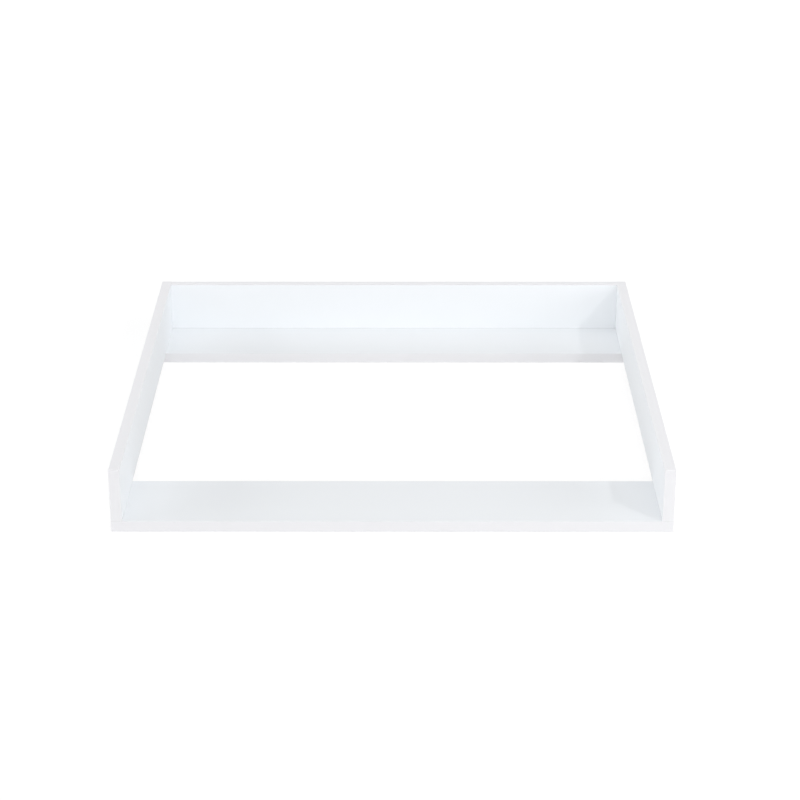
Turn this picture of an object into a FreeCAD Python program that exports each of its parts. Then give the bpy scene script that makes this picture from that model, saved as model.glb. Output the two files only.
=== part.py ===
import FreeCAD, Part
import os
import Sketcher

# A changing top for a chest of drawers. A front and a rear bottom board lie flat, two side panels stand on
# both of them, and a back panel stands on the rear board between the sides. The boards are faced particle
# board with banded edges. Screws come up through the bottom boards and in through the sides, with dowels
# between them. Origin under the middle of the object, +X to the right, +Y to the back, +Z up, millimetres.

Vector = FreeCAD.Vector

sizes = {
    "overall_width": 800,
    "overall_depth": 780,
    "wall_height": 80,  # side and back panels, above the bottom boards
    "board_thickness": 16,
    "bottom_board_depth": 136,
    "back_inset": 1,  # back panel's rear face, in from the sides' rear edges
    "band_thickness": 0.8,
    "band_land": 0.4,  # square part of a band's edge, under its rounding
    "screw_length": 50,
    "screw_diameter": 7,  # plain shank and thread crest
    "screw_thread_depth": 1,
    "screw_pitch": 3,
    "screw_plain_length": 14,  # head and plain shank
    "screw_tip_length": 3,
    "screw_head_overhang": 1.5,  # head's rim past the shank, all round
    "screw_recess": 0.5,  # head's face below the board's face
    "screw_clearance": 0.05,
    "screw_end_gap": 1,
    "socket_width": 4,  # hexagon, across flats
    "socket_depth": 3.5,
    "dowel_diameter": 8,
    "dowel_length": 30,
    "dowel_chamfer": 1,
    "dowel_floor": 5,  # board left under a dowel's hole
    "dowel_clearance": 0.05,
    "dowel_end_gap": 1,
    "flute_count": 12,
    "flute_radius": 0.5,
    "cap_overlap": 1,  # cap's rim past the mouth of the screw hole
    "cap_height": 1.6,
    "cap_rim": 0.4,  # square part of the cap's edge, under its rounding
    "cap_stem_gap": 1.5,  # stem's end above the socket's floor
    "cap_stem_clearance": 0.05,
    "crossing_screw_inset": 36,  # screws into the sides, in from a bottom board's long edges
    "corner_screw_inset": 18,  # screws into the back panel's ends, in from its top and bottom
    "back_screw_inset": 144,  # outer screws up into the back panel, in from its ends
    "pilot_diameter": 3,  # blind holes for screws from the furniture below
    "pilot_floor": 5,  # board left over a pilot hole
    "pilot_inset": 100,  # pilot holes, in from the object's sides
}

doc = FreeCAD.newDocument("changing_top")
sheet = doc.addObject("Spreadsheet::Sheet", "Sizes")
for row, (alias, number) in enumerate(sizes.items(), start=1):
    sheet.set(f"A{row}", alias)
    sheet.set(f"B{row}", str(number))
    sheet.setAlias(f"B{row}", alias)
doc.recompute()

# Places and lengths that several pieces share
half_width = "(Sizes.overall_width / 2)"
half_depth = "(Sizes.overall_depth / 2)"
half_wall = "(Sizes.wall_height / 2)"
half_board = "(Sizes.board_thickness / 2)"
half_bottom = "(Sizes.bottom_board_depth / 2)"
band = "Sizes.band_thickness"
object_top = "(Sizes.board_thickness + Sizes.wall_height)"
wall_middle = f"(Sizes.board_thickness + {half_wall})"
side_middle = f"({half_width} - {half_board})"
bottom_middle = f"({half_depth} - {half_bottom})"
back_middle = f"({half_depth} - Sizes.back_inset - {half_board})"
back_half_length = f"({half_width} - Sizes.board_thickness)"
back_screw_place = f"({back_half_length} - Sizes.back_screw_inset)"
back_on_board = f"({back_middle} - {bottom_middle})"
pilot_place = f"({half_width} - Sizes.pilot_inset)"
crossing_step = f"({half_bottom} - Sizes.crossing_screw_inset)"
corner_step = f"({half_wall} - Sizes.corner_screw_inset)"

shank_radius = "(Sizes.screw_diameter / 2)"
head_radius = f"({shank_radius} + Sizes.screw_head_overhang)"
core_radius = f"({shank_radius} - Sizes.screw_thread_depth)"
screw_hole_radius = f"({shank_radius} + Sizes.screw_clearance)"
head_hole_radius = f"({head_radius} + Sizes.screw_recess + Sizes.screw_clearance)"
screw_hole_depth = "(Sizes.screw_recess + Sizes.screw_length - Sizes.board_thickness + Sizes.screw_end_gap)"
thread_length = "(Sizes.screw_length - Sizes.screw_plain_length - Sizes.screw_tip_length)"
ridge_count = f"floor({thread_length} / Sizes.screw_pitch)"
dowel_radius = "(Sizes.dowel_diameter / 2)"
dowel_hole_radius = f"({dowel_radius} + Sizes.dowel_clearance)"
dowel_face_depth = "(Sizes.board_thickness - Sizes.dowel_floor)"
dowel_edge_depth = f"(Sizes.dowel_length + Sizes.dowel_end_gap - {dowel_face_depth})"
dowel_start = f"({dowel_face_depth} - Sizes.dowel_end_gap / 2)"

left, right, front, rear = -1, 1, -1, 1
upwards, downwards = Vector(0, 0, 1), Vector(0, 0, -1)
along_x, along_y, along_z = Vector(1, 0, 0), Vector(0, 1, 0), Vector(0, 0, 1)

nodes = {}


def value_of(expression):
    return float(sheet.evalExpression(expression))


def turned(outward, along):
    return FreeCAD.Rotation(along, Vector(), outward, "ZXY")


def place(piece, x, y, z, rotation=FreeCAD.Rotation()):
    piece.Placement = FreeCAD.Placement(Vector(), rotation)
    for axis, expression in zip("xyz", (x, y, z)):
        piece.setExpression(f"Placement.Base.{axis}", expression)


def new_body(name):
    body = doc.addObject("PartDesign::Body", name)
    body.Label = name
    return body


def origin_item(body, role):
    return next(item for item in body.Origin.OriginFeatures if item.Role == role)


def new_sketch(body, name, role, offset="0"):
    sketch = body.newObject("Sketcher::SketchObject", name)
    sketch.AttachmentSupport = [(origin_item(body, role), "")]
    sketch.MapMode = "FlatFace"
    sketch.setExpression("AttachmentOffset.Base.z", offset)
    return sketch


def bind_constraint(sketch, constraint, expression):
    index = sketch.addConstraint(constraint)
    sketch.setExpression(f"Constraints[{index}]", expression)


def locate(sketch, geometry, point, x, y):
    bind_constraint(sketch, Sketcher.Constraint("DistanceX", -1, 1, geometry, point, value_of(x)), x)
    bind_constraint(sketch, Sketcher.Constraint("DistanceY", -1, 1, geometry, point, value_of(y)), y)


def draw_outline(sketch, points):
    corners = [Vector(value_of(x), value_of(y), 0) for x, y in points]
    for start, end in zip(corners, corners[1:] + corners[:1]):
        sketch.addGeometry(Part.LineSegment(start, end), False)
    for line, (x, y) in enumerate(points):
        sketch.addConstraint(Sketcher.Constraint("Coincident", line, 2, (line + 1) % len(points), 1))
        locate(sketch, line, 1, x, y)


def draw_rectangle(sketch, half_length, bottom, top):
    draw_outline(sketch, [
        (f"-{half_length}", bottom),
        (half_length, bottom),
        (half_length, top),
        (f"-{half_length}", top),
    ])


def draw_circles(sketch, places, radius):
    for x, y in places:
        centre = Vector(value_of(x), value_of(y), 0)
        circle = sketch.addGeometry(Part.Circle(centre, Vector(0, 0, 1), value_of(radius)), False)
        bind_constraint(sketch, Sketcher.Constraint("Radius", circle, value_of(radius)), radius)
        locate(sketch, circle, 3, x, y)


def draw_hexagon(sketch, across_flats):
    reach = f"({across_flats}) / sqrt(3)"
    turns = [f"{60 * corner} deg" for corner in range(6)]
    draw_outline(sketch, [(f"{reach} * cos({turn})", f"{reach} * sin({turn})") for turn in turns])


def pad(body, name, sketch, length, both_ways=False):
    feature = body.newObject("PartDesign::Pad", name)
    feature.Profile = sketch
    feature.Midplane = both_ways
    feature.setExpression("Length", length)
    doc.recompute()
    return feature


def revolve(body, name, sketch):
    feature = body.newObject("PartDesign::Revolution", name)
    feature.Profile = sketch
    feature.ReferenceAxis = (sketch, ["V_Axis"])
    feature.Angle = 360
    doc.recompute()
    return feature


def must_cut(body, volume_before, name):
    doc.recompute()
    if body.Shape.Volume >= volume_before:
        raise RuntimeError(f"{body.Label}: {name} removes nothing")


def drill(body, name, role, offset, places, radius, depth, along_normal):
    sketch = new_sketch(body, f"{name}_places", role, offset)
    draw_circles(sketch, places, radius)
    volume_before = body.Shape.Volume
    feature = body.newObject("PartDesign::Pocket", name)
    feature.Profile = sketch
    feature.Reversed = along_normal
    feature.setExpression("Length", depth)
    must_cut(body, volume_before, name)
    return feature


def countersink(body, name, role, offset, places, along_normal):
    sketch = new_sketch(body, f"{name}_places", role, offset)
    draw_circles(sketch, places, screw_hole_radius)
    doc.recompute()
    volume_before = body.Shape.Volume
    feature = body.newObject("PartDesign::Hole", name)
    feature.Profile = sketch
    feature.ThreadType = "None"
    feature.DepthType = "ThroughAll"
    feature.HoleCutType = "Countersink"
    feature.HoleCutCustomValues = True
    feature.HoleCutCountersinkAngle = 90
    feature.Reversed = along_normal
    feature.setExpression("Diameter", f"2 * {screw_hole_radius}")
    feature.setExpression("HoleCutDiameter", f"2 * {head_hole_radius}")
    must_cut(body, volume_before, name)


def round_top_edges(body, name, feature, radius, long_only=False):
    chosen = []
    for number, edge in enumerate(feature.Shape.Edges, start=1):
        box = edge.BoundBox
        on_top = box.ZMin > feature.Shape.BoundBox.ZMax / 2
        if on_top and (box.XLength > box.YLength or not long_only):
            chosen.append(f"Edge{number}")
    rounding = body.newObject("PartDesign::Fillet", name)
    rounding.Base = (feature, chosen)
    rounding.setExpression("Radius", radius)
    doc.recompute()


def slab(name, role, half_length, bottom, top):
    body = new_body(name)
    outline = new_sketch(body, f"{name}_outline", role)
    draw_rectangle(outline, half_length, bottom, top)
    pad(body, f"{name}_sheet", outline, "Sizes.board_thickness", both_ways=True)
    nodes[name] = body
    return body


def both_signs(*expressions):
    return [f"{sign}{expression}" for expression in expressions for sign in ("-", "")]


crossing_screws = both_signs(f"({bottom_middle} - {crossing_step})", f"({bottom_middle} + {crossing_step})")
crossing_dowels = both_signs(bottom_middle)
back_screws = ["0"] + both_signs(back_screw_place)
back_dowels = both_signs(f"({back_screw_place} / 2)")
corner_screws = both_signs(corner_step)


def bottom_board(name, side_of_middle):
    edge = f"({half_bottom} - {band})"
    body = slab(name, "XY_Plane", f"({half_width} - {band})", f"-{edge}", edge)
    screw_places = [(x, y) for x in both_signs(side_middle) for y in both_signs(crossing_step)]
    dowel_places = [(x, "0") for x in both_signs(side_middle)]
    if side_of_middle == rear:
        screw_places += [(x, back_on_board) for x in back_screws]
        dowel_places += [(x, back_on_board) for x in back_dowels]
    countersink(body, f"{name}_screw_holes", "XY_Plane", f"-{half_board}", screw_places, True)
    drill(body, f"{name}_dowel_holes", "XY_Plane", half_board, dowel_places,
          dowel_hole_radius, dowel_face_depth, False)
    pilot_places = [(x, "0") for x in both_signs(pilot_place)]
    drill(body, f"{name}_pilot_holes", "XY_Plane", f"-{half_board}", pilot_places,
          "(Sizes.pilot_diameter / 2)", "Sizes.board_thickness - Sizes.pilot_floor", True)
    place(body, "0", f"{side_of_middle} * {bottom_middle}", half_board)


def side_panel(name, side):
    edge = f"({half_wall} - {band})"
    body = slab(name, "YZ_Plane", f"({half_depth} - {band})", f"-{edge}", edge)
    drill(body, f"{name}_screw_holes", "XY_Plane", f"-{half_wall}", [("0", y) for y in crossing_screws],
          screw_hole_radius, screw_hole_depth, True)
    drill(body, f"{name}_dowel_holes", "XY_Plane", f"-{half_wall}", [("0", y) for y in crossing_dowels],
          dowel_hole_radius, dowel_edge_depth, True)
    countersink(body, f"{name}_corner_screw_holes", "YZ_Plane", f"{side} * {half_board}",
                [(back_middle, z) for z in corner_screws], side == left)
    drill(body, f"{name}_corner_dowel_hole", "YZ_Plane", f"{-side} * {half_board}", [(back_middle, "0")],
          dowel_hole_radius, dowel_face_depth, side == right)
    place(body, f"{side} * {side_middle}", "0", wall_middle)


def back_panel(name):
    body = slab(name, "XZ_Plane", back_half_length, f"-{half_wall}", f"({half_wall} - {band})")
    drill(body, f"{name}_screw_holes", "XY_Plane", f"-{half_wall}", [(x, "0") for x in back_screws],
          screw_hole_radius, screw_hole_depth, True)
    drill(body, f"{name}_dowel_holes", "XY_Plane", f"-{half_wall}", [(x, "0") for x in back_dowels],
          dowel_hole_radius, dowel_edge_depth, True)
    for end_name, end in (("left", left), ("right", right)):
        face = f"{end} * {back_half_length}"
        drill(body, f"{name}_{end_name}_screw_holes", "YZ_Plane", face, [("0", z) for z in corner_screws],
              screw_hole_radius, screw_hole_depth, end == left)
        drill(body, f"{name}_{end_name}_dowel_hole", "YZ_Plane", face, [("0", "0")],
              dowel_hole_radius, dowel_edge_depth, end == left)
    place(body, "0", back_middle, wall_middle)


def band_strip(name, half_length):
    body = new_body(name)
    outline = new_sketch(body, f"{name}_outline", "XY_Plane")
    draw_rectangle(outline, half_length, f"-{half_board}", half_board)
    nodes[name] = body
    return body, pad(body, f"{name}_strip", outline, band)


def edge_band(name, half_length, outward, along, x, y, z, eased_ends=False):
    body, strip = band_strip(name, half_length)
    round_top_edges(body, f"{name}_easing", strip, f"{band} - Sizes.band_land", long_only=not eased_ends)
    place(body, x, y, z, turned(outward, along))


def seat_band(name, x):
    body = band_strip(name, half_depth)[0]
    drill(body, f"{name}_screw_holes", "XY_Plane", "0", [(y, "0") for y in crossing_screws],
          screw_hole_radius, band, True)
    drill(body, f"{name}_dowel_holes", "XY_Plane", "0", [(y, "0") for y in crossing_dowels],
          dowel_hole_radius, band, True)
    place(body, x, "0", f"Sizes.board_thickness + {band}", turned(downwards, along_y))


def side_bands(name, side):
    x = f"{side} * {side_middle}"
    edge_band(f"{name}_top_band", half_depth, upwards, along_y,
              x, "0", f"{object_top} - {band}", eased_ends=True)
    seat_band(f"{name}_bottom_band", x)
    for end_name, end in (("front", front), ("rear", rear)):
        edge_band(f"{name}_{end_name}_band", f"({half_wall} - {band})", Vector(0, end, 0), along_z,
                  x, f"{end} * ({half_depth} - {band})", wall_middle)


def bottom_board_bands(name, side_of_middle):
    middle = f"{side_of_middle} * {bottom_middle}"
    for edge_name, edge in (("front", front), ("rear", rear)):
        edge_band(f"{name}_{edge_name}_band", half_width, Vector(0, edge, 0), along_x,
                  "0", f"{middle} + {edge} * ({half_bottom} - {band})", half_board, eased_ends=True)
    for end_name, end in (("left", left), ("right", right)):
        edge_band(f"{name}_{end_name}_band", f"({half_bottom} - {band})", Vector(end, 0, 0), along_y,
                  f"{end} * ({half_width} - {band})", middle, half_board)


def one_screw():
    body = new_body("one_screw")
    core = new_sketch(body, "screw_core_profile", "XZ_Plane")
    draw_outline(core, [
        ("0", "0"),
        (head_radius, "0"),
        (shank_radius, "Sizes.screw_head_overhang"),
        (shank_radius, "Sizes.screw_plain_length"),
        (core_radius, "Sizes.screw_plain_length"),
        (core_radius, "Sizes.screw_length - Sizes.screw_tip_length"),
        ("0", "Sizes.screw_length"),
    ])
    revolve(body, "screw_core", core)
    ridge = new_sketch(body, "screw_ridge_profile", "XZ_Plane")
    draw_outline(ridge, [
        ("0", "Sizes.screw_plain_length"),
        (core_radius, "Sizes.screw_plain_length"),
        (shank_radius, "Sizes.screw_plain_length + Sizes.screw_pitch / 2"),
        (core_radius, "Sizes.screw_plain_length + Sizes.screw_pitch"),
        ("0", "Sizes.screw_plain_length + Sizes.screw_pitch"),
    ])
    thread = body.newObject("PartDesign::LinearPattern", "screw_thread")
    thread.Originals = [revolve(body, "screw_ridge", ridge)]
    thread.Direction = (origin_item(body, "Z_Axis"), [""])
    thread.setExpression("Length", f"({ridge_count} - 1) * Sizes.screw_pitch")
    thread.setExpression("Occurrences", ridge_count)
    body.Tip = thread
    doc.recompute()
    volume_before = body.Shape.Volume
    socket = new_sketch(body, "screw_socket_outline", "XY_Plane")
    draw_hexagon(socket, "Sizes.socket_width")
    recess = body.newObject("PartDesign::Pocket", "screw_socket")
    recess.Profile = socket
    recess.Reversed = True
    recess.setExpression("Length", "Sizes.socket_depth")
    must_cut(body, volume_before, "screw_socket")
    return body


def one_dowel():
    body = new_body("one_dowel")
    profile = new_sketch(body, "dowel_profile", "XZ_Plane")
    end_radius = f"{dowel_radius} - Sizes.dowel_chamfer"
    draw_outline(profile, [
        ("0", "0"),
        (end_radius, "0"),
        (dowel_radius, "Sizes.dowel_chamfer"),
        (dowel_radius, "Sizes.dowel_length - Sizes.dowel_chamfer"),
        (end_radius, "Sizes.dowel_length"),
        ("0", "Sizes.dowel_length"),
    ])
    revolve(body, "dowel_blank", profile)
    groove = drill(body, "dowel_flute", "XY_Plane", "0", [(dowel_radius, "0")],
                   "Sizes.flute_radius", "Sizes.dowel_length", True)
    flutes = body.newObject("PartDesign::PolarPattern", "dowel_flutes")
    flutes.Originals = [groove]
    flutes.Axis = (origin_item(body, "Z_Axis"), [""])
    flutes.Angle = 360
    flutes.setExpression("Occurrences", "Sizes.flute_count")
    body.Tip = flutes
    return body


def one_cap():
    body = new_body("one_cap")
    disc = new_sketch(body, "cap_outline", "XY_Plane")
    draw_circles(disc, [("0", "0")], f"({head_hole_radius} + Sizes.cap_overlap)")
    blank = pad(body, "cap_disc", disc, "Sizes.cap_height")
    round_top_edges(body, "cap_rounding", blank, "Sizes.cap_height - Sizes.cap_rim")
    stem_outline = new_sketch(body, "cap_stem_outline", "XY_Plane")
    draw_hexagon(stem_outline, "Sizes.socket_width - 2 * Sizes.cap_stem_clearance")
    stem = pad(body, "cap_stem", stem_outline, "Sizes.screw_recess + Sizes.socket_depth - Sizes.cap_stem_gap")
    stem.Reversed = True
    return body


def fastener_set(name, piece, places):
    copies = []
    for number, (x, y, z, rotation) in enumerate(places, start=1):
        copy = doc.addObject("App::Link", f"{name}_{number}")
        copy.LinkedObject = piece
        place(copy, x, y, z, rotation)
        copies.append(copy)
    group = doc.addObject("Part::Compound", name)
    group.Label = name
    group.Links = copies
    nodes[name] = group


def fasteners():
    screw, dowel, cap = one_screw(), one_dowel(), one_cap()
    straight_up = turned(upwards, along_x)
    screw_foot = "Sizes.screw_recess"
    dowel_foot = f"Sizes.board_thickness - {dowel_start}"
    for name, side_of_middle in (("front_board", front), ("rear_board", rear)):
        middle = f"{side_of_middle} * {bottom_middle}"
        screw_rows = [f"{middle} + {step}" for step in both_signs(crossing_step)]
        fastener_set(f"{name}_screws", screw,
                     [(x, y, screw_foot, straight_up) for x in both_signs(side_middle) for y in screw_rows])
        fastener_set(f"{name}_dowels", dowel,
                     [(x, middle, dowel_foot, straight_up) for x in both_signs(side_middle)])
    fastener_set("back_panel_screws", screw, [(x, back_middle, screw_foot, straight_up) for x in back_screws])
    fastener_set("back_panel_dowels", dowel, [(x, back_middle, dowel_foot, straight_up) for x in back_dowels])
    corner_screw_places, corner_dowel_places, cap_places = [], [], []
    for side in (left, right):
        inwards, outwards = Vector(-side, 0, 0), Vector(side, 0, 0)
        dowel_x = f"{side} * ({back_half_length} + {dowel_start})"
        corner_dowel_places.append((dowel_x, back_middle, wall_middle, turned(inwards, along_y)))
        for z in corner_screws:
            height = f"{wall_middle} + {z}"
            head_x = f"{side} * ({half_width} - Sizes.screw_recess)"
            corner_screw_places.append((head_x, back_middle, height, turned(inwards, along_y)))
            cap_places.append((f"{side} * {half_width}", back_middle, height, turned(outwards, along_y)))
    fastener_set("corner_screws", screw, corner_screw_places)
    fastener_set("corner_dowels", dowel, corner_dowel_places)
    fastener_set("corner_screw_caps", cap, cap_places)


bottom_board("front_board", front)
bottom_board("rear_board", rear)
side_panel("left_side_panel", left)
side_panel("right_side_panel", right)
back_panel("back_panel")
bottom_board_bands("front_board", front)
bottom_board_bands("rear_board", rear)
side_bands("left_side", left)
side_bands("right_side", right)
edge_band("back_panel_top_band", back_half_length, upwards, along_x,
          "0", back_middle, f"{object_top} - {band}")
fasteners()
doc.recompute()

for item in doc.Objects:
    if "Invalid" in item.State or "Error" in item.State:
        raise RuntimeError(f"{item.Label} failed: {item.State}")
for name, piece in nodes.items():
    if piece.Shape.isNull() or not piece.Shape.isValid():
        raise RuntimeError(f"{name} has no valid shape")

os.makedirs("parts", exist_ok=True)
for name, piece in nodes.items():
    piece.Shape.exportStep(f"parts/{name}.step")
    box = piece.Shape.BoundBox
    extents = f"{box.XLength:.2f} x {box.YLength:.2f} x {box.ZLength:.2f} mm"
    print(f"{name}: {len(piece.Shape.Solids)} solid(s), {extents}")
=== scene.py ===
import math

import bpy
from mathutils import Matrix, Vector


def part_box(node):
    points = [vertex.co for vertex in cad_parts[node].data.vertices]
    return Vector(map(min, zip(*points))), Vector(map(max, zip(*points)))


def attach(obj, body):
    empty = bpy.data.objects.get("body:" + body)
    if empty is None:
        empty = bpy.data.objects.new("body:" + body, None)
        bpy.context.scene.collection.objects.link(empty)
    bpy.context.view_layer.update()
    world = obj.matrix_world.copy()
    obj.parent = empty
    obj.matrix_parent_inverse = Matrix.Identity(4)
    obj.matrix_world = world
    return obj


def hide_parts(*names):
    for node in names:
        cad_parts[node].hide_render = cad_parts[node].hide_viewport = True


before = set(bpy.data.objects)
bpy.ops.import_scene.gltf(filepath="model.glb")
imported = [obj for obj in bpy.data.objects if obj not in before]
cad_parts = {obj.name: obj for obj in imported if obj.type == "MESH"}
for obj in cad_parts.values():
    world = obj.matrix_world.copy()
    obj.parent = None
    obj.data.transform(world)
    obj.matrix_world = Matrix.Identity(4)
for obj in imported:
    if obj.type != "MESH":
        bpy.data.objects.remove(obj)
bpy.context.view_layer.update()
mm = 0.001
studioWhite = (1.0, 1.0, 1.0, 1.0)
print("frame loaded:", len(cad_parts), "nodes")


# small helpers for the node trees

def wire(material, source, target):
    material.node_tree.links.new(source, target)


def newMaterial(name):
    material = bpy.data.materials.new(name)
    material.use_nodes = True
    nodes = material.node_tree.nodes
    nodes.clear()
    output = nodes.new("ShaderNodeOutputMaterial")
    shader = nodes.new("ShaderNodeBsdfPrincipled")
    wire(material, shader.outputs["BSDF"], output.inputs["Surface"])
    return material, shader


def feed(material, socket, value):
    # another node's output is linked, a number or a colour is set
    if isinstance(value, bpy.types.NodeSocket):
        wire(material, value, socket)
    else:
        socket.default_value = value


def addNode(material, kind, inputs, **settings):
    node = material.node_tree.nodes.new(kind)
    for name, value in settings.items():
        setattr(node, name, value)
    for name, value in inputs.items():
        feed(material, node.inputs[name], value)
    return node


def objectPoint(material):
    return addNode(material, "ShaderNodeTexCoord", {}).outputs["Object"]


def calculate(material, operation, first, second):
    return addNode(material, "ShaderNodeMath", {0: first, 1: second}, operation=operation).outputs[0]


def noise(material, point, scale, detail=2.0):
    inputs = {"Vector": point, "Scale": scale, "Detail": detail}
    return addNode(material, "ShaderNodeTexNoise", inputs).outputs["Fac"]


def drawnNoise(material, point, lengthAxis, grains, detail):
    # drawn out along one axis, with its grains per metre along and across
    along, across = grains
    scale = [across] * 3
    scale[lengthAxis] = along
    drawn = addNode(material, "ShaderNodeMapping", {"Vector": point, "Scale": scale}).outputs["Vector"]
    return noise(material, drawn, 1.0, detail)


def remap(material, value, fromSpan, toSpan):
    inputs = {"Value": value, "From Min": fromSpan[0], "From Max": fromSpan[1]}
    inputs.update({"To Min": toSpan[0], "To Max": toSpan[1]})
    return addNode(material, "ShaderNodeMapRange", inputs).outputs["Result"]


noiseSpan = (0.3, 0.7)  # most of a noise lies between these
fullSpan = (0.0, 1.0)


def spread(material, factor, span):
    return remap(material, factor, noiseSpan, span)


def mixColour(material, factor, first, second):
    inputs = {0: factor, 6: first, 7: second}
    return addNode(material, "ShaderNodeMix", inputs, data_type="RGBA").outputs[2]


def mixValue(material, factor, first, second):
    inputs = {0: factor, 2: first, 3: second}
    return addNode(material, "ShaderNodeMix", inputs, data_type="FLOAT").outputs[0]


def bump(material, height, distance):
    inputs = {"Height": height, "Distance": distance}
    return addNode(material, "ShaderNodeBump", inputs).outputs["Normal"]


def finish(material, shader, colour, roughness, normal):
    wire(material, colour, shader.inputs["Base Color"])
    wire(material, roughness, shader.inputs["Roughness"])
    wire(material, normal, shader.inputs["Normal"])
    return material


def dress(nodeName, material):
    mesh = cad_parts[nodeName].data
    mesh.materials.clear()
    mesh.materials.append(material)


# melamine faced chipboard: white skin on both faces, chips inside the drilled holes

melamine = {
    "white": (0.868, 0.89, 0.912, 1.0),
    "cloud": (0.860, 0.883, 0.906, 1.0),
    "cloudScale": 7.0,
    "pearlScale": 900.0,  # grains per metre in the pressed texture
    "pearlHeight": 0.015,
    "roughness": (0.58, 0.66),
    "specular": 0.25,
    "skin": 0.3 * mm,
    "seam": 0.1 * mm,  # glue hairline beside an edge band
    "footJoint": 0.4 * mm,  # shadow lines where a board butts against another
    "sideJoint": 0.2 * mm,
    "seamColour": (0.62, 0.62, 0.62, 1.0),
    "reliefDepth": 0.4 * mm,
}
chipCore = {
    "light": (0.58, 0.43, 0.27, 1.0),
    "dark": (0.30, 0.20, 0.11, 1.0),
    "chipScale": 520.0,
    "dustScale": 1600.0,
    "dustTone": (0.6, 1.0),  # how far the dust dims the chips
    "roughness": 0.92,
}


def nearEnds(material, along, ends, widths):
    # 1 before the first end plus its width and past the last end less its width, 0 between
    atLow = calculate(material, "LESS_THAN", along, ends[0] + widths[0])
    atHigh = calculate(material, "GREATER_THAN", along, ends[1] - widths[1])
    return calculate(material, "MAXIMUM", atLow, atHigh)


def melamineBoard(nodeName, thicknessAxis, joints):
    # joints: width of the shadow line at the edges without a band, each as axis and end
    material, shader = newMaterial(nodeName + "Melamine")
    point = objectPoint(material)
    axes = addNode(material, "ShaderNodeSeparateXYZ", {0: point})
    rims = []
    for axis, ends in enumerate(zip(*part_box(nodeName))):
        if axis == thicknessAxis:
            onSkin = nearEnds(material, axes.outputs[axis], ends, [melamine["skin"]] * 2)
        else:
            widths = [joints.get((axis, end), melamine["seam"]) for end in (0, 1)]
            rims.append(nearEnds(material, axes.outputs[axis], ends, widths))
    onSeam = calculate(material, "MAXIMUM", *rims)
    # white skin
    clouds = noise(material, point, melamine["cloudScale"])
    pearl = noise(material, point, melamine["pearlScale"], detail=1.0)
    white = mixColour(material, clouds, melamine["white"], melamine["cloud"])
    # chips and dust
    inputs = {"Vector": point, "Scale": chipCore["chipScale"]}
    chips = addNode(material, "ShaderNodeTexVoronoi", inputs)
    dust = noise(material, point, chipCore["dustScale"], detail=3.0)
    dustTone = spread(material, dust, chipCore["dustTone"])
    chipTone = calculate(material, "MULTIPLY", chips.outputs["Color"], dustTone)
    core = mixColour(material, chipTone, chipCore["dark"], chipCore["light"])
    # skin over core, hairlines over both
    colour = mixColour(material, onSkin, core, white)
    colour = mixColour(material, onSeam, colour, melamine["seamColour"])
    skinRoughness = spread(material, pearl, melamine["roughness"])
    roughness = mixValue(material, onSkin, chipCore["roughness"], skinRoughness)
    pearlRelief = calculate(material, "MULTIPLY", pearl, melamine["pearlHeight"])
    relief = mixValue(material, onSkin, chips.outputs["Distance"], pearlRelief)
    shader.inputs["Specular IOR Level"].default_value = melamine["specular"]
    return finish(material, shader, colour, roughness, bump(material, relief, melamine["reliefDepth"]))


thicknessAxes = {
    "front_board": 2,
    "rear_board": 2,
    "left_side_panel": 0,
    "right_side_panel": 0,
    "back_panel": 1,
}
buttJoints = {
    "back_panel": {
        (0, 0): melamine["sideJoint"],
        (0, 1): melamine["sideJoint"],
        (2, 0): melamine["footJoint"],
    },
}
for nodeName, thicknessAxis in thicknessAxes.items():
    dress(nodeName, melamineBoard(nodeName, thicknessAxis, buttJoints.get(nodeName, {})))
print("boards faced:", len(thicknessAxes))


# plastic edge bands: drawn out lengthwise, a little greyer and smoother than the faces

edgeBand = {
    "white": (0.852, 0.853, 0.874, 1.0),
    "cloud": (0.844, 0.845, 0.866, 1.0),
    "cloudScale": 11.0,
    "streaks": (9.0, 800.0),  # per metre along and across
    "specular": 0.3,
    "roughness": (0.46, 0.58),
    "reliefDepth": 0.008 * mm,
}


def onSeat(material, point):
    # the line where the foot of a side stands on the bottom boards
    axes = addNode(material, "ShaderNodeSeparateXYZ", {0: point})
    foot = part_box("left_side_bottom_band")[0][2]
    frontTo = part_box("front_board_rear_band")[1][1]
    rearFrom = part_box("rear_board_front_band")[0][1]
    atFoot = calculate(material, "LESS_THAN", axes.outputs["Z"], foot + melamine["sideJoint"])
    overBoards = nearEnds(material, axes.outputs["Y"], (frontTo, rearFrom), (0.0, 0.0))
    return calculate(material, "MULTIPLY", atFoot, overBoards)


def bandFinish(name, lengthAxis, seated=False):
    material, shader = newMaterial(name)
    point = objectPoint(material)
    streaks = drawnNoise(material, point, lengthAxis, edgeBand["streaks"], detail=3.0)
    clouds = noise(material, point, edgeBand["cloudScale"])
    colour = mixColour(material, clouds, edgeBand["white"], edgeBand["cloud"])
    if seated:
        colour = mixColour(material, onSeat(material, point), colour, melamine["seamColour"])
    roughness = spread(material, streaks, edgeBand["roughness"])
    shader.inputs["Specular IOR Level"].default_value = edgeBand["specular"]
    return finish(material, shader, colour, roughness, bump(material, streaks, edgeBand["reliefDepth"]))


bandFinishes = [bandFinish("edgeBandAlong" + "XYZ"[axis], axis) for axis in range(3)]
bandNames = [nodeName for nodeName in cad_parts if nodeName.endswith("_band")]
for nodeName in bandNames:
    low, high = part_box(nodeName)
    sides = [high[axis] - low[axis] for axis in range(3)]
    dress(nodeName, bandFinishes[sides.index(max(sides))])
seatFinish = bandFinish("edgeBandSeated", 1, seated=True)
for nodeName in ("left_side_bottom_band", "right_side_bottom_band"):
    dress(nodeName, seatFinish)
print("edge bands finished:", len(bandNames))


# beech dowels, grain along their length

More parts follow.
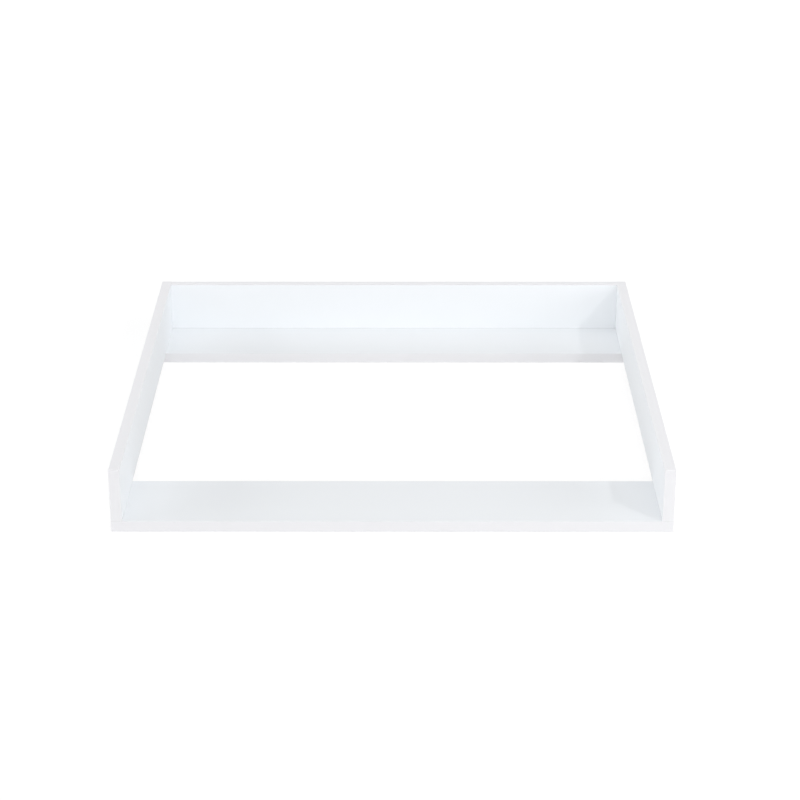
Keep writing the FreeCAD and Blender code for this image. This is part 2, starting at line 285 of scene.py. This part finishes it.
beech = {
    "light": (0.70, 0.49, 0.30, 1.0),
    "dark": (0.56, 0.36, 0.20, 1.0),
    "fleck": (0.36, 0.21, 0.11, 1.0),
    "grain": (40.0, 900.0),  # per metre along and across
    "flecks": (300.0, 3200.0),
    "fleckEdge": (0.60, 0.74),  # where a fleck starts and is full in the noise
    "fleckStrength": (0.0, 0.75),
    "roughness": (0.62, 0.8),
    "reliefDepth": 0.03 * mm,
}


def beechFinish(lengthAxis):
    material, shader = newMaterial("beechAlong" + "XYZ"[lengthAxis])
    point = objectPoint(material)
    grain = drawnNoise(material, point, lengthAxis, beech["grain"], detail=4.0)
    flecks = drawnNoise(material, point, lengthAxis, beech["flecks"], detail=1.0)
    onFleck = remap(material, flecks, beech["fleckEdge"], beech["fleckStrength"])
    colour = mixColour(material, spread(material, grain, fullSpan), beech["light"], beech["dark"])
    colour = mixColour(material, onFleck, colour, beech["fleck"])
    roughness = spread(material, grain, beech["roughness"])
    return finish(material, shader, colour, roughness, bump(material, grain, beech["reliefDepth"]))


uprightBeech = beechFinish(2)
for nodeName in ("front_board_dowels", "rear_board_dowels", "back_panel_dowels"):
    dress(nodeName, uprightBeech)
dress("corner_dowels", beechFinish(0))
print("dowels grained")


# modelling helpers

def clearSelection():
    bpy.ops.object.select_all(action="DESELECT")


def makeActive(piece):
    clearSelection()
    piece.select_set(True)
    bpy.context.view_layer.objects.active = piece


def editAll():
    bpy.ops.object.mode_set(mode="EDIT")
    bpy.ops.mesh.select_all(action="SELECT")


def selectWhere(piece, test):
    makeActive(piece)
    bpy.ops.object.mode_set(mode="EDIT")
    bpy.ops.mesh.select_mode(type="VERT")
    bpy.ops.mesh.select_all(action="DESELECT")
    bpy.ops.object.mode_set(mode="OBJECT")
    for vertex in piece.data.vertices:
        vertex.select = test(vertex.co)
    bpy.ops.object.mode_set(mode="EDIT")


mergeWithin = 0.001 * mm


def closeShell():
    bpy.ops.mesh.select_all(action="SELECT")
    bpy.ops.mesh.remove_doubles(threshold=mergeWithin)
    bpy.ops.mesh.normals_make_consistent(inside=False)
    bpy.ops.object.mode_set(mode="OBJECT")


def applyPlace():
    bpy.ops.object.transform_apply(location=True, rotation=True, scale=True)


def aim(thing, towards):
    # its own Z turned that way
    thing.rotation_euler = Vector(towards).to_track_quat("Z", "Y").to_euler()


def smoothBelow(piece, degrees):
    makeActive(piece)
    bpy.ops.object.shade_smooth_by_angle(angle=math.radians(degrees))


def turnUp(name, corners, outline):
    # a disc drawn out upwards ring by ring, outline in millimetres: height, radius
    clearSelection()
    bpy.ops.mesh.primitive_circle_add(vertices=corners, radius=outline[0][1] * mm, fill_type="NGON",
                                      location=(0.0, 0.0, 0.0))
    piece = bpy.context.object
    piece.name = name
    editAll()
    bpy.ops.transform.translate(value=(0.0, 0.0, outline[0][0] * mm))
    for (lastHeight, lastRadius), (height, radius) in zip(outline, outline[1:]):
        rise = {"value": (0.0, 0.0, (height - lastHeight) * mm)}
        bpy.ops.mesh.extrude_region_move(TRANSFORM_OT_translate=rise)
        if radius == 0:
            bpy.ops.mesh.merge(type="CENTER")
        else:
            grow = radius / lastRadius
            bpy.ops.transform.resize(value=(grow, grow, 1.0), center_override=(0.0, 0.0, height * mm))
    closeShell()
    return piece


def hexagonTool(width, outline):
    # six sided plug, outline in millimetres: height, growth over the width
    sides = 6
    corner = width / 2 / math.cos(math.pi / sides)
    return turnUp("plug", sides, [(height, corner * growth) for height, growth in outline])


def combine(piece, tool, operation):
    makeActive(piece)
    bpy.ops.object.modifier_add(type="BOOLEAN")
    modifier = piece.modifiers[-1]
    modifier.operation = operation
    modifier.solver = "MANIFOLD"
    modifier.object = tool
    bpy.ops.object.modifier_apply(modifier=modifier.name)
    piece.data.materials.clear()  # the solver leaves an empty slot
    bpy.data.objects.remove(tool)


def copyTo(master, spots, name):
    # one copy for each spot, own mesh each, then joined as one piece at the origin
    copies = []
    for place, towards in spots:
        makeActive(master)
        bpy.ops.object.duplicate(linked=False)
        copy = bpy.context.object
        copy.location = place
        aim(copy, towards)
        applyPlace()
        copies.append(copy)
    clearSelection()
    for copy in copies:
        copy.select_set(True)
    bpy.context.view_layer.objects.active = copies[0]
    bpy.ops.object.join()
    copies[0].name = name
    return copies[0]


# zinc plated connecting screws with a real helix, in millimetres, head at the origin and tip upwards

screw = {
    "frameRim": 5.0,  # radius of the heads in the frame, whose boxes give the places
    "corners": 40,  # round the shank, and steps in each turn of the thread
    "length": 50.0,
    "headRadius": 4.82,  # clear of the countersink that it sits in
    "headEase": 0.12,  # broken edge of the head
    "shankRadius": 3.46,
    "plainTo": 13.4,
    "coreFrom": 15.0,
    "coreRadius": 2.48,
    "tipLength": 4.4,
    "tipRings": 6,
    "threadFrom": 15.6,
    "threadCrest": 3.47,
    "threadRoot": 2.3,
    "threadFoot": 1.9,  # width of the ridge where it leaves the core
    "threadTop": 0.16,
    "pitch": 3.0,
    "turns": 10,
    "runOut": 0.75,  # share of a turn over which the ridge rises and fades
    "leastRidge": 0.02,  # share of the ridge that is left at its very ends
    "socketWidth": 4.0,
    "socketDepth": 3.5,
    "socketLead": 0.3,
    "socketPoint": 0.6,  # drill point at the socket's floor
    "pointShare": 0.3,  # of the socket's width, at the end of the point
    "smoothBelow": 32.0,  # degrees
}


def screwOutline():
    head, ease = screw["headRadius"], screw["headEase"]
    shank, core = screw["shankRadius"], screw["coreRadius"]
    coneTo = ease + head - shank  # cone of 90 degrees under the head
    tipFrom = screw["length"] - screw["tipLength"]
    outline = [(0.0, head - ease), (ease, head), (coneTo, shank), (screw["plainTo"], shank),
               (screw["coreFrom"], core), (tipFrom, core)]
    for ring in range(1, screw["tipRings"]):
        angle = math.pi / 2 * ring / screw["tipRings"]
        outline.append((tipFrom + screw["tipLength"] * math.sin(angle), core * math.cos(angle)))
    return outline + [(screw["length"], 0.0)]


def ridgeSection(width, middle):
    # upright beside the axis, broad at the core and narrow at the crest
    clearSelection()
    bpy.ops.mesh.primitive_plane_add(size=1.0, location=(0.0, 0.0, 0.0),
                                     rotation=(math.pi / 2, 0.0, 0.0))
    ridge = bpy.context.object
    applyPlace()
    start = screw["threadFrom"] * mm
    editAll()
    bpy.ops.transform.resize(value=(width * mm, 1.0, screw["threadFoot"] * mm),
                             center_override=(0.0, 0.0, 0.0))
    bpy.ops.transform.translate(value=(middle * mm, 0.0, start))
    bpy.ops.object.mode_set(mode="OBJECT")
    selectWhere(ridge, lambda place: place.x > middle * mm)
    narrow = screw["threadTop"] / screw["threadFoot"]
    bpy.ops.transform.resize(value=(1.0, 1.0, narrow), center_override=(0.0, 0.0, start))
    bpy.ops.object.mode_set(mode="OBJECT")
    return ridge


def windUp(ridge):
    bpy.ops.object.modifier_add(type="SCREW")
    winding = ridge.modifiers[-1]
    winding.axis = "Z"
    winding.angle = math.tau
    winding.screw_offset = screw["pitch"] * mm
    winding.iterations = screw["turns"]
    winding.steps = screw["corners"]
    winding.render_steps = screw["corners"]
    bpy.ops.object.modifier_apply(modifier=winding.name)


def fadeEnds(ridge, width, middle):
    # let the crest sink into the core at both ends
    climb = screw["pitch"] * mm
    start = screw["threadFrom"] * mm
    for vertex in ridge.data.vertices:
        radius = math.hypot(vertex.co.x, vertex.co.y)
        if radius > middle * mm:
            turn = (vertex.co.z - start) / climb
            near = min(turn, screw["turns"] - turn) / screw["runOut"]
            shrink = screw["threadRoot"] + width * min(max(near, screw["leastRidge"]), 1.0)
            vertex.co.x *= shrink * mm / radius
            vertex.co.y *= shrink * mm / radius


def threadRidge():
    width = screw["threadCrest"] - screw["threadRoot"]
    middle = (screw["threadCrest"] + screw["threadRoot"]) / 2
    ridge = ridgeSection(width, middle)
    windUp(ridge)
    fadeEnds(ridge, width, middle)
    editAll()
    bpy.ops.mesh.fill_holes(sides=4)  # the section's four corners, at both ends
    closeShell()
    # half a step round, so that its edges fall between those of the shank
    ridge.rotation_euler = (0.0, 0.0, math.pi / screw["corners"])
    applyPlace()
    return ridge


def buildScrew():
    piece = turnUp("screw", screw["corners"], screwOutline())
    combine(piece, threadRidge(), "UNION")
    depth, lead = screw["socketDepth"], screw["socketLead"]
    wide = 1.0 + 2 * lead / screw["socketWidth"]
    steps = [(-lead, wide), (0.0, wide), (lead, 1.0), (depth - screw["socketPoint"], 1.0),
             (depth, screw["pointShare"])]
    combine(piece, hexagonTool(screw["socketWidth"], steps), "DIFFERENCE")
    smoothBelow(piece, screw["smoothBelow"])
    return piece


zinc = {
    "bright": (0.66, 0.68, 0.70, 1.0),
    "dull": (0.54, 0.56, 0.58, 1.0),
    "clouds": 260.0,
    "scratches": 2400.0,
    "metallic": 1.0,
    "roughness": (0.24, 0.40),
    "reliefDepth": 0.006 * mm,
}


def zincFinish():
    material, shader = newMaterial("zincPlate")
    point = objectPoint(material)
    clouds = noise(material, point, zinc["clouds"], detail=3.0)
    scratches = noise(material, point, zinc["scratches"])
    colour = mixColour(material, spread(material, clouds, fullSpan), zinc["bright"], zinc["dull"])
    shader.inputs["Metallic"].default_value = zinc["metallic"]
    roughness = spread(material, clouds, zinc["roughness"])
    return finish(material, shader, colour, roughness, bump(material, scratches, zinc["reliefDepth"]))


def evenly(first, last, count):
    if count == 1:
        return [(first + last) / 2]
    return [first + (last - first) * step / (count - 1) for step in range(count)]


def uprightSpots(nodeName, columns, rows):
    # heads at the foot of the node's box, tips up
    low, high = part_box(nodeName)
    rim = screw["frameRim"] * mm
    return [((x, y, low[2]), (0.0, 0.0, 1.0))
            for x in evenly(low[0] + rim, high[0] - rim, columns)
            for y in evenly(low[1] + rim, high[1] - rim, rows)]


def cornerSpots():
    # one above the other in both sides, tips towards the middle
    low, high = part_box("corner_screws")
    rim = screw["frameRim"] * mm
    return [((x, (low[1] + high[1]) / 2, z), (inwards, 0.0, 0.0))
            for x, inwards in ((low[0], 1.0), (high[0], -1.0))
            for z in (low[2] + rim, high[2] - rim)]


screwSets = {
    "front_board_screws": ("frontBoardScrews", uprightSpots("front_board_screws", columns=2, rows=2)),
    "rear_board_screws": ("rearBoardScrews", uprightSpots("rear_board_screws", columns=2, rows=2)),
    "back_panel_screws": ("backPanelScrews", uprightSpots("back_panel_screws", columns=3, rows=1)),
    "corner_screws": ("cornerScrews", cornerSpots()),
}
masterScrew = buildScrew()
masterScrew.data.materials.append(zincFinish())
for nodeName, (pieceName, spots) in screwSets.items():
    piece = copyTo(masterScrew, spots, pieceName)
    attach(piece, "root")
    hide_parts(nodeName)
bpy.data.objects.remove(masterScrew)
print("screws turned and threaded:", sum(len(spots) for pieceName, spots in screwSets.values()))


# moulded cover caps over the corner screws, in millimetres

cap = {
    "radius": 6.55,
    "height": 1.6,
    "rim": 0.35,  # straight part of the edge
    "draft": 0.05,
    "squareness": 3.4,  # of the dome's section, where 2 is an ellipse
    "rings": 9,
    "corners": 56,
    "stemWidth": 3.86,
    "stemLength": 2.45,
    "stemLead": 0.4,
    "leadShare": 0.8,  # of the stem's width, at its tip
    "stemRoot": 0.5,  # how far the stem goes up into the dome
    "smoothBelow": 35.0,  # degrees
}
capPlastic = {
    "white": (0.86, 0.868, 0.88, 1.0),
    "cloud": (0.846, 0.854, 0.868, 1.0),
    "cloudScale": 160.0,
    "sparkScale": 3200.0,  # eroded mould texture
    "roughness": (0.40, 0.52),
    "reliefDepth": 0.006 * mm,
}


def capOutline():
    rise = cap["height"] - cap["rim"]
    power = 2 / cap["squareness"]
    outline = [(0.0, cap["radius"] - cap["draft"]), (cap["rim"], cap["radius"])]
    for ring in range(1, cap["rings"]):
        angle = math.pi / 2 * ring / cap["rings"]
        height = cap["rim"] + rise * math.sin(angle) ** power
        outline.append((height, cap["radius"] * math.cos(angle) ** power))
    return outline + [(cap["height"], 0.0)]


def buildCap():
    piece = turnUp("cap", cap["corners"], capOutline())
    foot = -cap["stemLength"]
    steps = [(foot, cap["leadShare"]), (foot + cap["stemLead"], 1.0), (cap["stemRoot"], 1.0)]
    combine(piece, hexagonTool(cap["stemWidth"], steps), "UNION")
    smoothBelow(piece, cap["smoothBelow"])
    return piece


def capFinish():
    material, shader = newMaterial("capPlastic")
    point = objectPoint(material)
    clouds = noise(material, point, capPlastic["cloudScale"])
    sparks = noise(material, point, capPlastic["sparkScale"], detail=1.0)
    colour = mixColour(material, clouds, capPlastic["white"], capPlastic["cloud"])
    roughness = spread(material, sparks, capPlastic["roughness"])
    return finish(material, shader, colour, roughness, bump(material, sparks, capPlastic["reliefDepth"]))


def capSpots():
    # on the outer faces of the sides, over the corner screws
    outerFaces = {1.0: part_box("left_side_panel")[0][0], -1.0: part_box("right_side_panel")[1][0]}
    spots = []
    for place, towards in cornerSpots():
        inwards = towards[0]
        spots.append(((outerFaces[inwards], *place[1:]), (-inwards, 0.0, 0.0)))
    return spots


masterCap = buildCap()
masterCap.data.materials.append(capFinish())
caps = copyTo(masterCap, capSpots(), "cornerScrewCaps")
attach(caps, "root")
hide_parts("corner_screw_caps")
bpy.data.objects.remove(masterCap)
print("cover caps moulded:", len(capSpots()))


# camera, lamps, world and floor

camera = {
    "place": (0.01275, -3.24827, 1.41253),
    "turn": (67.071, 0.0, 0.034),  # degrees
    "lens": 100.605,  # millimetres, as the sensor
    "sensor": 36.0,
    "seesTo": 100.0,
}


def addCamera():
    clearSelection()
    turn = [math.radians(angle) for angle in camera["turn"]]
    bpy.ops.object.camera_add(location=camera["place"], rotation=turn)
    taker = bpy.context.object
    taker.data.lens = camera["lens"]
    taker.data.sensor_width = camera["sensor"]
    taker.data.clip_end = camera["seesTo"]
    bpy.context.scene.camera = taker


softBoxes = {
    "topBox": {"place": (0.0, 0.0, 3.4), "size": (5.0, 5.0), "watts": 46.0},
    "frontBox": {"place": (0.0, -4.5, 1.2), "size": (4.0, 2.0), "watts": 61.5},
    "leftBox": {"place": (-7.0, -0.4, 1.8), "size": (6.0, 3.0), "watts": 169.0},
    "rightBox": {"place": (2.0, -0.7, 0.55), "size": (1.8, 0.9), "watts": 12.2},
    "rearBox": {"place": (0.0, 3.2, 0.3), "size": (4.0, 0.5), "watts": 16.0},
}
keyLamp = {"towards": (0.53, -0.54, 0.647), "strength": 0.41, "angle": 3.0}  # degrees
ambient = {"colour": studioWhite, "strength": 0.43}


def addLamps():
    clearSelection()
    for name, setting in softBoxes.items():
        bpy.ops.object.light_add(type="AREA", location=setting["place"])
        lamp = bpy.context.object
        lamp.name = name
        lamp.visible_camera = False
        lamp.data.shape = "RECTANGLE"
        lamp.data.size, lamp.data.size_y = setting["size"]
        lamp.data.energy = setting["watts"]
        aim(lamp, setting["place"])
    bpy.ops.object.light_add(type="SUN", location=keyLamp["towards"])
    lamp = bpy.context.object
    lamp.name = "keyLamp"
    lamp.data.energy = keyLamp["strength"]
    lamp.data.angle = math.radians(keyLamp["angle"])
    aim(lamp, keyLamp["towards"])


def seenDirectly(tree):
    # camera, mirror and glass rays see the white surroundings
    path = tree.nodes.new("ShaderNodeLightPath")
    total = path.outputs["Is Camera Ray"]
    for name in ("Is Glossy Ray", "Is Transmission Ray"):
        adder = tree.nodes.new("ShaderNodeMath")
        adder.operation = "MAXIMUM"
        tree.links.new(total, adder.inputs[0])
        tree.links.new(path.outputs[name], adder.inputs[1])
        total = adder.outputs[0]
    return total


def addWorld():
    world = bpy.data.worlds.new("studio")
    bpy.context.scene.world = world
    world.use_nodes = True
    tree = world.node_tree
    tree.nodes.clear()
    output = tree.nodes.new("ShaderNodeOutputWorld")
    fill = tree.nodes.new("ShaderNodeBackground")
    fill.inputs["Color"].default_value = ambient["colour"]
    fill.inputs["Strength"].default_value = ambient["strength"]
    seen = tree.nodes.new("ShaderNodeBackground")
    seen.inputs["Color"].default_value = studioWhite
    mix = tree.nodes.new("ShaderNodeMixShader")
    tree.links.new(seenDirectly(tree), mix.inputs["Fac"])
    tree.links.new(fill.outputs["Background"], mix.inputs[1])
    tree.links.new(seen.outputs["Background"], mix.inputs[2])
    tree.links.new(mix.outputs["Shader"], output.inputs["Surface"])


floorLook = {
    "size": 60.0,
    "drop": 0.2 * mm,  # just clear of the undersides
    "pale": (0.7, 0.7, 0.7, 1.0),
    "seen": (0.3, 0.3, 0.3, 1.0),
    "glow": (0.75, 0.86),  # by the object and far off, where less lamp light lands
    "fade": (1.5, 6.0),
    "roughness": 0.9,
    "specular": 0.0,
}


def floorFinish():
    material, shader = newMaterial("paleFloor")
    seen = seenDirectly(material.node_tree)
    colour = mixColour(material, seen, floorLook["pale"], floorLook["seen"])
    wire(material, colour, shader.inputs["Base Color"])
    shader.inputs["Roughness"].default_value = floorLook["roughness"]
    shader.inputs["Specular IOR Level"].default_value = floorLook["specular"]
    shader.inputs["Emission Color"].default_value = studioWhite
    distance = addNode(material, "ShaderNodeVectorMath", {0: objectPoint(material)}, operation="LENGTH")
    glow = remap(material, distance.outputs["Value"], floorLook["fade"], floorLook["glow"])
    wire(material, calculate(material, "MULTIPLY", seen, glow), shader.inputs["Emission Strength"])
    return material


def addFloor():
    clearSelection()
    bpy.ops.mesh.primitive_plane_add(size=floorLook["size"], location=(0.0, 0.0, -floorLook["drop"]))
    floor = bpy.context.object
    floor.name = "floor"
    floor.data.materials.append(floorFinish())


addCamera()
addLamps()
addWorld()
addFloor()
bpy.context.scene.view_settings.view_transform = "Standard"
print("camera, lamps and floor placed")
